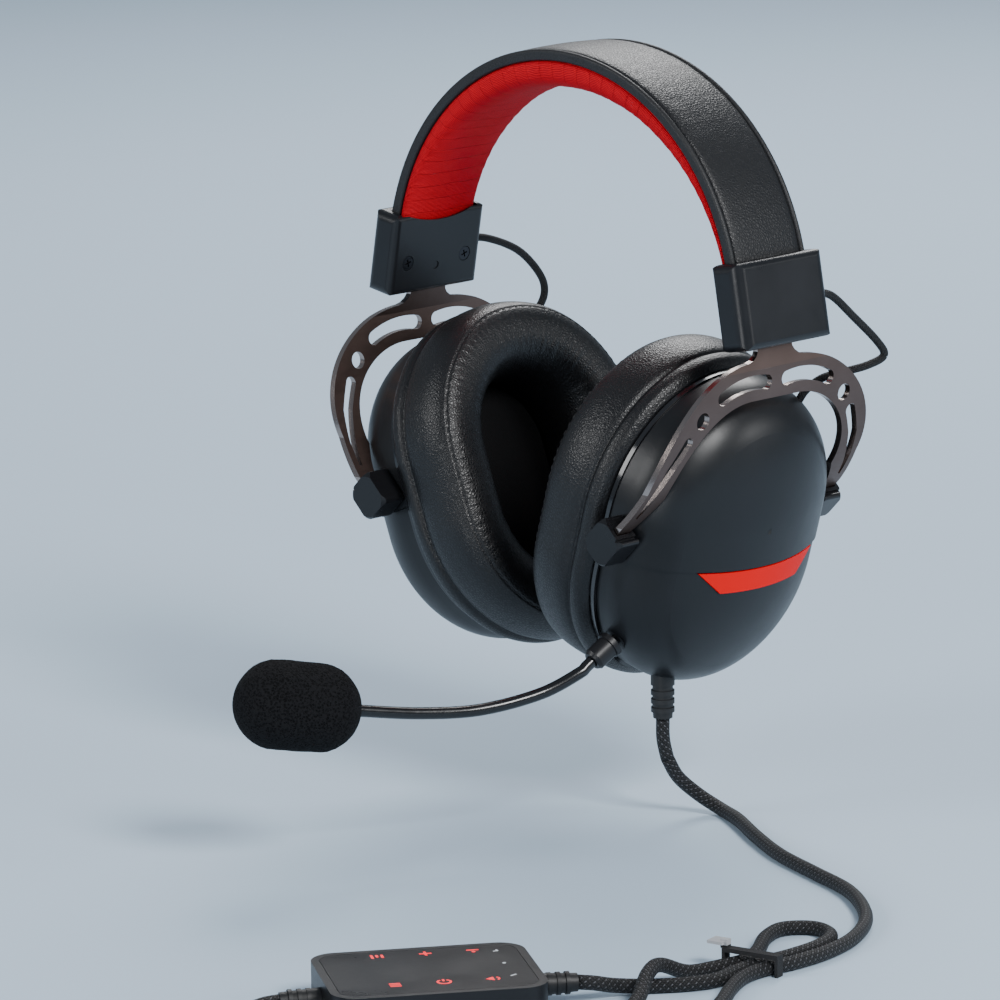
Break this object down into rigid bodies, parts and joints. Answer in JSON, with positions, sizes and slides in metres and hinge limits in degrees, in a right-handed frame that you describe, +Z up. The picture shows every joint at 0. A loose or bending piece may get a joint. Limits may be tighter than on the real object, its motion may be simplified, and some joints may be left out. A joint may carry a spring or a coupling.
{
  "type": "gaming headset",
  "caption": "Over-ear headset with a sprung padded headband, sliding yokes, tilting ear cups, a plug-in boom microphone and a corded touch control box.",
  "frame": {"origin": "underside of the head pad at the crown of the headband", "axes": "+Z up, -Y the way the wearer faces, +X towards the wearer's left ear"},
  "size_m": [0.2934, 0.4162, 0.2445],
  "materials": {
    "grained_leather": "pebble-grained leatherette, semi-matt",
    "piping": "smooth rolled edge binding",
    "spring_steel": "plain spring steel",
    "red_mesh": "red knitted mesh over foam",
    "satin_plastic": "satin black, fine texture",
    "screw_steel": "blackened steel",
    "slip_plastic": "natural acetal",
    "link_rubber": "black flexible jacket",
    "bronze_aluminium": "bronze-brown anodised with bright cut edges",
    "shell_plastic": "satin black",
    "red_badge": "bright red satin",
    "gloss_ring": "gloss black",
    "inner_plastic": "moulded black",
    "plated_steel": "bright plated",
    "ear_fabric": "thin black acoustic cloth",
    "cushion_leather": "pebble-grained leatherette over foam",
    "plug_plastic": "moulded black",
    "boom_rubber": "smooth glossy jacket",
    "foam": "open-cell foam",
    "soft_rubber": "ribbed strain relief",
    "braid": "braided jacket with light flecks",
    "tie_strap": "hook and loop strap with a pale tab",
    "box_plastic": "satin black",
    "touch_glass": "gloss black with glowing red symbols",
    "board": "green solder mask"
  },
  "bodies": {
    "headband": {"headband_cover": "grained_leather", "headband_piping": "piping", "headband_spring": "spring_steel", "headband_pad": "red_mesh", "housing_left": "satin_plastic", "housing_right": "satin_plastic", "housing_plate_left": "satin_plastic", "housing_plate_right": "satin_plastic", "housing_screws": "screw_steel", "detents": "slip_plastic", "link_upper_left": "link_rubber", "link_upper_right": "link_rubber", "cord_on_desk": "braid", "cord_tie": "tie_strap", "box_bottom": "box_plastic", "box_top": "box_plastic", "touch_panel": "touch_glass", "box_board": "board", "box_glands": "soft_rubber", "usb_cord": "braid", "usb_coil": "braid", "usb_lead": "braid", "usb_plug": "plug_plastic", "usb_shell": "plated_steel"},
    "left_yoke": {"yoke_left": "bronze_aluminium", "pivot_caps_left": "satin_plastic", "pivot_pins_left": "spring_steel", "link_lower_left": "link_rubber"},
    "right_yoke": {"yoke_right": "bronze_aluminium", "pivot_caps_right": "satin_plastic", "pivot_pins_right": "spring_steel", "link_lower_right": "link_rubber"},
    "left_cup": {"upper_shell_left": "shell_plastic", "lower_shell_left": "shell_plastic", "badge_left": "red_badge", "chassis_ring_left": "gloss_ring", "baffle_left": "inner_plastic", "cup_screws_left": "screw_steel", "driver_frame_left": "inner_plastic", "driver_magnet_left": "plated_steel", "ear_cloth_left": "ear_fabric", "ear_cushion_left": "cushion_leather", "mic_socket": "inner_plastic", "cord_gland": "soft_rubber", "cord_hanging": "braid"},
    "right_cup": {"upper_shell_right": "shell_plastic", "lower_shell_right": "shell_plastic", "badge_right": "red_badge", "chassis_ring_right": "gloss_ring", "baffle_right": "inner_plastic", "cup_screws_right": "screw_steel", "driver_frame_right": "inner_plastic", "driver_magnet_right": "plated_steel", "ear_cloth_right": "ear_fabric", "ear_cushion_right": "cushion_leather"},
    "mic": {"mic_plug": "plug_plastic", "mic_boom_lower": "boom_rubber"},
    "mic_tip": {"mic_boom_upper": "boom_rubber", "mic_capsule": "inner_plastic", "windscreen": "foam"}
  },
  "joints": [
    {"name": "left_slide", "type": "slide", "parent": "headband", "child": "left_yoke", "axis": [0.1736, 0, -0.9848], "range_m": [0, 0.018], "deforming": ["link_upper_left", "cord_on_desk"]},
    {"name": "left_tilt", "type": "hinge", "parent": "left_yoke", "child": "left_cup", "pos_m": [0.0525, 0, -0.1335], "axis": [0, 1, 0], "range_deg": [-20, 1], "deforming": ["link_lower_left", "cord_hanging"]},
    {"name": "right_slide", "type": "slide", "parent": "headband", "child": "right_yoke", "axis": [-0.1736, 0, -0.9848], "range_m": [0, 0.018], "deforming": ["link_upper_right"]},
    {"name": "right_tilt", "type": "hinge", "parent": "right_yoke", "child": "right_cup", "pos_m": [-0.0525, 0, -0.1335], "axis": [0, -1, 0], "range_deg": [-20, 1], "deforming": ["link_lower_right"]},
    {"name": "mic_pull", "type": "slide", "parent": "left_cup", "child": "mic", "axis": [-0.1541, -0.829, -0.5375], "range_m": [0, 0.018]},
    {"name": "mic_bend", "type": "hinge", "parent": "mic", "child": "mic_tip", "pos_m": [0.0246, -0.0785, -0.1866], "axis": [-0.9143, 0.405, 0], "range_deg": [-25, 25], "deforming": ["mic_boom_lower", "mic_boom_upper"]}
  ]
}
